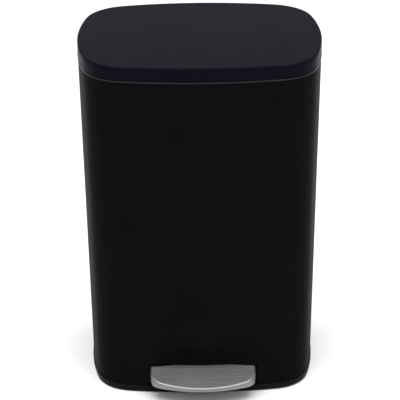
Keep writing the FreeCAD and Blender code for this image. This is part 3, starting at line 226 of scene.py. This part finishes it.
def brushed_metal(name, dark, light, rough, stretch, grain_axis="X"):
    """Brushed metal: long scratches along the direction in which stretch is small."""
    s = Shader(name)
    s.set("Metallic", 1.0)
    s.set("Anisotropic", 0.6)
    around = s.tree.nodes.new("ShaderNodeTangent")
    around.direction_type = "RADIAL"
    around.axis = grain_axis
    s.link(around, "Tangent", s.skin, "Tangent")
    scratches = s.noise(1.0, detail=4.0, rough=0.6, stretch=stretch)
    s.colours(scratches, dark, light)
    s.roughness(scratches, *rough)
    s.bump(s.noise(2.3, rough=0.6, stretch=stretch), 0.006 * MM, 0.5)
    return s.material


def coated_metal(name, dark, light, rough):
    """Powder coat: an orange-peel skin over sheet steel."""
    s = Shader(name)
    s.colours(s.noise(30.0), dark, light)
    s.roughness(s.noise(60.0), *rough)
    s.bump(s.noise(900.0, detail=1.0), 0.04 * MM, 0.4)
    return s.material


def soft_rubber(name, dark, light, rough):
    """Rubber: dull and finely pitted."""
    s = Shader(name)
    s.colours(s.noise(60.0), dark, light)
    s.roughness(s.noise(200.0), *rough)
    s.bump(s.noise(1500.0), 0.03 * MM, 0.3)
    return s.material


SLOT_LOOKS = {
    "body_plastic": moulded_plastic(
        "satin_black_body", (0.0034, 0.0034, 0.0042), (0.0042, 0.0042, 0.0052), (0.42, 0.48), gloss=0.01),
    # the lid's colour holds a painted blue tint: the bluish cast of the studio light on its top is put in
    # the colour, while the lamps and the world stay white
    "lid_plastic": moulded_plastic(
        "satin_black_lid_painted_blue_light", (0.0026, 0.0026, 0.0062), (0.0034, 0.0034, 0.0076), (0.34, 0.40), grain=2200.0,
        gloss=0.026),
    "rim_plastic": moulded_plastic(
        "gloss_black_trim", (0.003, 0.003, 0.004), (0.004, 0.004, 0.005), (0.24, 0.30), grain=2600.0,
        gloss=0.3),
    "base_plastic": moulded_plastic(
        "matte_black_base", (0.003, 0.003, 0.004), (0.004, 0.004, 0.005), (0.42, 0.5), gloss=0.08),
    "bucket_plastic": moulded_plastic(
        "grey_bucket", (0.035, 0.036, 0.04), (0.045, 0.046, 0.05), (0.42, 0.52)),
    "cover_plastic": moulded_plastic(
        "grey_cover", (0.05, 0.05, 0.054), (0.06, 0.06, 0.064), (0.45, 0.55)),
    "bush_plastic": moulded_plastic(
        "natural_acetal", (0.62, 0.61, 0.56), (0.7, 0.69, 0.64), (0.35, 0.45), grain=1200.0,
        grain_strength=0.1),
    "tread_steel": brushed_metal(
        "brushed_tread", (0.205, 0.205, 0.212), (0.275, 0.275, 0.283), (0.30, 0.42), (22.0, 1600.0, 1600.0)),
    "zinc_steel": brushed_metal(
        "zinc_plate", (0.45, 0.46, 0.45), (0.62, 0.62, 0.58), (0.3, 0.45), (300.0, 300.0, 300.0)),
    "damper_metal": brushed_metal(
        "drawn_tube", (0.55, 0.55, 0.57), (0.68, 0.68, 0.7), (0.25, 0.35), (900.0, 900.0, 14.0),
        grain_axis="Z"),
    "lever_steel": coated_metal(
        "black_powder_coat", (0.009, 0.009, 0.009), (0.014, 0.014, 0.014), (0.4, 0.5)),
    "soft_rubber": soft_rubber("black_rubber", (0.012, 0.012, 0.012), (0.02, 0.02, 0.02), (0.75, 0.9)),
}
NODE_SLOTS = {part["node"]: part["material_slot"] for part in frame["record"]["subparts"]}


def dress_cad_nodes():
    """Every CAD node gets the material of its slot."""
    for node, slot in NODE_SLOTS.items():
        mesh = frame["nodes"][node].data
        mesh.materials.clear()
        mesh.materials.append(SLOT_LOOKS[slot])


# ---- the can's outline -----------------------------------------------------------------------------
def circles_meet(c1, r1, c2, r2, y_sign):
    """The point on both circles that lies furthest out towards +X and the given side in Y."""
    points = intersect_sphere_sphere_2d(c1, r1, c2, r2)
    return max(points, key=lambda p: p.x + y_sign * p.y)


def plan_arcs():
    """Half of the rounded outline, front to rear: each arc's centre, turn and number of steps."""
    front, back = Vector((0, FRONT_Y + FRONT_R)), Vector((0, BACK_Y - BACK_R))
    side = Vector((WIDTH / 2 - SIDE_R, MIDDLE_Y))
    front_corner = circles_meet(side, SIDE_R - CORNER_R, front, FRONT_R - CORNER_R, -1)
    back_corner = circles_meet(side, SIDE_R - CORNER_R, back, BACK_R - CORNER_R, 1)
    joins = (front_corner - front, front_corner - side, back_corner - side, back_corner - back)
    ends = [-QUARTER, *(math.atan2(way.y, way.x) for way in joins), QUARTER]
    turns = [b - a for a, b in zip(ends, ends[1:])]
    return list(zip((front, front_corner, side, back_corner, back), turns, ARC_STEPS))


PLAN_ARCS = plan_arcs()


def spin_on(bm, tip, centre, turn, count):
    """Carries a chain of edges on round an arc. Returns the chain's new end."""
    made = bmesh.ops.spin(bm, geom=[tip], cent=centre, axis=(0, 0, 1), angle=turn, steps=count,
                          use_duplicate=False)
    return next(g for g in made["geom_last"] if isinstance(g, bmesh.types.BMVert))


def half_outline(bm, z, inset):
    """One level of the outline's right half, spun arc by arc. Returns its edges."""
    start = len(bm.edges)
    tip = bm.verts.new((0, FRONT_Y + inset, z))
    for centre, turn, count in PLAN_ARCS:
        tip = spin_on(bm, tip, (centre.x, centre.y, z), turn, count)
    bm.edges.ensure_lookup_table()
    return list(bm.edges[start:])


def leaning(z, inset=0.0):
    """A level of the can's drafted wall, as its height and its inset from the lid's outline."""
    return z, inset + LEAN * (HEIGHT - z)


def loft(bm, outline, levels):
    """Bridges one level of an outline to the next, all the way up."""
    below = outline(bm, *levels[0])
    for level in levels[1:]:
        above = outline(bm, *level)
        bmesh.ops.bridge_loops(bm, edges=below + above)
        below = above


def close_halves(bm):
    """Mirrors the right half to the left and joins them along the middle."""
    bmesh.ops.mirror(bm, geom=bm.verts[:] + bm.edges[:] + bm.faces[:], axis="X", merge_dist=MERGE)
    bmesh.ops.remove_doubles(bm, verts=bm.verts[:], dist=MERGE)
    bmesh.ops.recalc_face_normals(bm, faces=bm.faces[:])


def cut_window(bm, half_width, z_edge, above, side):
    """Cuts a window at the front (side -1) or the rear (side 1), above or below a height."""
    planes = [((x, 0, 0), (1, 0, 0)) for x in (-half_width, half_width)] + [((0, 0, z_edge), (0, 0, 1))]
    for point, normal in planes:
        everything = bm.verts[:] + bm.edges[:] + bm.faces[:]
        bmesh.ops.bisect_plane(bm, geom=everything, plane_co=point, plane_no=normal)
    gone = []
    for face in bm.faces:
        c = face.calc_center_median()
        if abs(c.x) < half_width and (c.y - MIDDLE_Y) * side > DEPTH / 3 and (c.z > z_edge) == above:
            gone.append(face)
    bmesh.ops.delete(bm, geom=gone, context="FACES")


def thicken(bm, thickness):
    """Gives an open skin its wall."""
    bmesh.ops.recalc_face_normals(bm, faces=bm.faces[:])
    bmesh.ops.solidify(bm, geom=bm.faces[:], thickness=thickness)


def make_piece(name, bm, body, node, soft_edge):
    """Turns a bmesh into a smooth-shaded piece that rides on a body and stands for a CAD node."""
    for face in bm.faces:
        face.smooth = True
    mesh = bpy.data.meshes.new(name)
    bm.to_mesh(mesh)
    bm.free()
    mesh.materials.append(SLOT_LOOKS[NODE_SLOTS[node]])
    piece = bpy.data.objects.new(name, mesh)
    bpy.context.scene.collection.objects.link(piece)
    edge = piece.modifiers.new("soft_edges", "BEVEL")
    edge.width = soft_edge
    edge.segments = SOFT_EDGE_STEPS
    edge.limit_method = "ANGLE"
    edge.angle_limit = SOFT_EDGE_FROM
    edge.harden_normals = True
    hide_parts(node)
    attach(piece, body)


# ---- the body's shell ------------------------------------------------------------------------------
def ease(t):
    """Goes from 0 to 1 with level ends."""
    t = min(max(t, 0.0), 1.0)
    return t * t * t * (t * (6 * t - 15) + 10)


def press_scoop(bm):
    """Presses the toe scoop into the front wall: deepest at the slot, and fading out above and beside."""
    for v in bm.verts:
        if v.co.y > FRONT_Y + DEPTH / 4:
            continue
        across = ease((SCOOP_SIDE - abs(v.co.x)) / (SCOOP_SIDE - SCOOP_FLAT))
        up = ease((SCOOP_TOP - v.co.z) / (SCOOP_TOP - SLOT_TOP))
        v.co.y += SCOOP_DEEP * across * up


def body_shell():
    """The drafted wall with its toe scoop, pedal slot and crank gate, and the floor inside it."""
    bm = bmesh.new()
    count = round((SCOOP_TOP - BODY_LOW) / SCOOP_STEP)
    heights = [BODY_LOW + (SCOOP_TOP - BODY_LOW) * i / count for i in range(count + 1)]
    heights += [SCOOP_TOP + (BODY_TOP - SCOOP_TOP) * i / WALL_STEPS for i in range(1, WALL_STEPS + 1)]
    loft(bm, half_outline, [leaning(z) for z in heights])
    close_halves(bm)
    press_scoop(bm)
    cut_window(bm, SLOT_HALF, SLOT_TOP, False, -1)
    cut_window(bm, GATE_HALF, GATE_LOW, True, 1)
    thicken(bm, WALL)
    add_floor(bm)
    make_piece("body_shell", bm, "can", "outer_body", BODY_SOFT_EDGE)


def add_floor(bm):
    """The body's floor plate, just inside the wall."""
    floor = bmesh.new()
    loft(floor, half_outline, [leaning(z, WALL) for z in (FLOOR_LOW, FLOOR_TOP)])
    close_halves(floor)
    press_scoop(floor)
    rims = [e for e in floor.edges if e.is_boundary]
    for z in (FLOOR_LOW, FLOOR_TOP):
        rim = [e for e in rims if all(abs(v.co.z - z) < NEAR for v in e.verts)]
        bmesh.ops.contextual_create(floor, geom=rim)
    bmesh.ops.recalc_face_normals(floor, faces=floor.faces[:])
    mesh = bpy.data.meshes.new("floor_plate")
    floor.to_mesh(mesh)
    floor.free()
    bm.from_mesh(mesh)
    bpy.data.meshes.remove(mesh)


# ---- the lid's shell -------------------------------------------------------------------------------
def crown_z(x, y):
    """The lid's slight dome."""
    return HEIGHT - (x * x + (y - MIDDLE_Y) ** 2) / (2 * CROWN_R)


def lid_shell():
    """The lid: a thin skirt, a rolled edge and a slightly domed top."""
    bm = bmesh.new()
    side_z = crown_z(WIDTH / 2, MIDDLE_Y)
    edge_z = side_z - LID_EDGE_R
    levels = [leaning(SKIRT_Z), leaning((SKIRT_Z + edge_z) / 2), leaning(edge_z)]
    for i in range(1, EDGE_STEPS + 1):
        turn = QUARTER * i / EDGE_STEPS
        inset = LEAN * (HEIGHT - edge_z) + LID_EDGE_R * (1 - math.cos(turn))
        levels.append((edge_z + LID_EDGE_R * math.sin(turn), inset))
    levels.append((levels[-1][0], levels[-1][1] + EDGE_LEDGE))
    loft(bm, half_outline, levels)
    close_halves(bm)
    fill_crown(bm, edge_z)
    for v in bm.verts:
        if v.co.z > edge_z:
            v.co.z += crown_z(v.co.x, v.co.y) - side_z
    cut_window(bm, NOTCH_HALF, NOTCH_TOP, False, 1)
    thicken(bm, LID_WALL)
    make_piece("lid_shell", bm, "lid", "lid_cover", LID_SOFT_EDGE)


def fill_crown(bm, edge_z):
    """Fills the lid's top inside its rolled edge with rings that shrink to the middle."""
    loop = [e for e in bm.edges if e.is_boundary and all(v.co.z > edge_z for v in e.verts)]
    for scale in CROWN_RINGS:
        made = bmesh.ops.extrude_edge_only(bm, edges=loop)["geom"]
        ring = [g for g in made if isinstance(g, bmesh.types.BMVert)]
        loop = [g for g in made if isinstance(g, bmesh.types.BMEdge)]
        bmesh.ops.scale(bm, vec=(scale, scale, 1), verts=ring, space=Matrix.Translation((0, -MIDDLE_Y, 0)))
    made = bmesh.ops.contextual_create(bm, geom=loop)
    bmesh.ops.poke(bm, faces=made["faces"])


# ---- the tread's sheet -----------------------------------------------------------------------------
def tread_top(y):
    """The tread's top, which slopes down to the front."""
    return TREAD_Z + TREAD_SLOPE * (y - FACE_Y)


def lip_low(y):
    """The lip's lower edge, level at the front and rising beside the sloping top."""
    knee_y = LIP_Y + LIP_KNEE
    rise = (tread_top(TREAD_BACK_Y) - LIP_SIDE_H - LIP_Z) / (TREAD_BACK_Y - knee_y)
    return LIP_Z + max(0.0, y - knee_y) * rise


def lip_middle(y):
    """Half way up the lip."""
    return (lip_low(y) + tread_top(y) - TREAD_EDGE_R) / 2


def tread_outline(bm, inset, height):
    """The tread's right half at one level: bowed front, round corner, straight side. Gives its edges."""
    start = len(bm.edges)
    front_steps, corner_steps, side_steps = TREAD_STEPS
    reach = TREAD_FRONT_R - TREAD_CORNER_R
    corner_x = TREAD_HALF - TREAD_CORNER_R
    middle_y = LIP_Y + TREAD_FRONT_R
    corner_y = middle_y - math.sqrt(reach * reach - corner_x * corner_x)
    turn = math.atan2(corner_x, middle_y - corner_y)
    tip = bm.verts.new((0, LIP_Y + inset, 0))
    tip = spin_on(bm, tip, (0, middle_y, 0), turn, front_steps)
    tip = spin_on(bm, tip, (corner_x, corner_y, 0), QUARTER - turn, corner_steps)
    for i in range(1, side_steps + 1):
        tip = bmesh.ops.extrude_vert_indiv(bm, verts=[tip])["verts"][0]
        tip.co.y = corner_y + (TREAD_BACK_Y - corner_y) * i / side_steps
    bm.edges.ensure_lookup_table()
    edges = list(bm.edges[start:])
    for v in {v for e in edges for v in e.verts}:
        v.co.z = height(v.co.y)
    return edges


def tread_sheet():
    """The tread: a sheet bent down into a lip at its front and sides."""
    bm = bmesh.new()
    levels = [(0.0, lip_low), (0.0, lip_middle)]
    for i in range(EDGE_STEPS + 1):
        turn = QUARTER * i / EDGE_STEPS
        drop = TREAD_EDGE_R * (1 - math.sin(turn))
        levels.append((TREAD_EDGE_R * (1 - math.cos(turn)), lambda y, d=drop: tread_top(y) - d))
    levels += [(TREAD_EDGE_R + ledge, tread_top) for ledge in TREAD_LEDGES]
    loft(bm, tread_outline, levels)
    close_halves(bm)
    rim = [e for e in bm.edges if e.is_boundary and all(v.co.z > tread_top(v.co.y) - NEAR for v in e.verts)]
    inner = [e for e in rim if any(abs(v.co.y - TREAD_BACK_Y) > NEAR for v in e.verts)]
    bmesh.ops.contextual_create(bm, geom=inner)
    bmesh.ops.recalc_face_normals(bm, faces=bm.faces[:])
    if sum(f.normal.z * f.calc_area() for f in bm.faces) < 0:
        bmesh.ops.reverse_faces(bm, faces=bm.faces[:])
    bmesh.ops.solidify(bm, geom=bm.faces[:], thickness=TREAD_T)
    add_studs(bm)
    make_piece("tread_sheet", bm, "pedal", "pedal_tread", TREAD_SOFT_EDGE)


def add_studs(bm):
    """The four studs welded under the tread."""
    for x in (-STUD_X, STUD_X):
        for y in STUD_ROWS:
            top = tread_top(y) - TREAD_T * math.hypot(1, TREAD_SLOPE) + STUD_WELD
            bmesh.ops.create_cone(bm, cap_ends=True, segments=STUD_SIDES, radius1=STUD_R, radius2=STUD_R,
                                  depth=STUD_L, matrix=Matrix.Translation((x, y, top - STUD_L / 2)))


# ---- floor and light -------------------------------------------------------------------------------
def make_floor():
    """A plain pale floor."""
    mesh = bpy.data.meshes.new("floor")
    bm = bmesh.new()
    bmesh.ops.create_grid(bm, x_segments=1, y_segments=1, size=FLOOR_HALF)
    bm.to_mesh(mesh)
    bm.free()
    floor = bpy.data.objects.new("floor", mesh)
    bpy.context.scene.collection.objects.link(floor)
    s = Shader("pale_floor")
    s.set("Base Color", FLOOR_COLOUR)
    s.set("Roughness", FLOOR_ROUGH)
    s.set("Specular IOR Level", 0.0)
    mesh.materials.append(s.material)


def make_sky():
    """An even pale world."""
    world = bpy.data.worlds.new("studio")
    bpy.context.scene.world = world
    world.use_nodes = True
    sky = world.node_tree.nodes["Background"]
    sky.inputs["Color"].default_value = SKY_COLOUR
    sky.inputs["Strength"].default_value = SKY_STRENGTH


def add_light(name, place, aim, size, power):
    """A square soft light."""
    data = bpy.data.lights.new(name, "AREA")
    data.shape = "SQUARE"
    data.size = size
    data.energy = power
    light = bpy.data.objects.new(name, data)
    bpy.context.scene.collection.objects.link(light)
    light.location = place
    light.rotation_euler = (Vector(aim) - Vector(place)).to_track_quat("-Z", "Y").to_euler()


make_camera()
dress_cad_nodes()
body_shell()
lid_shell()
tread_sheet()
make_floor()
make_sky()
for each in LIGHTS:
    add_light(*each)
bpy.context.scene.view_settings.view_transform = "Standard"
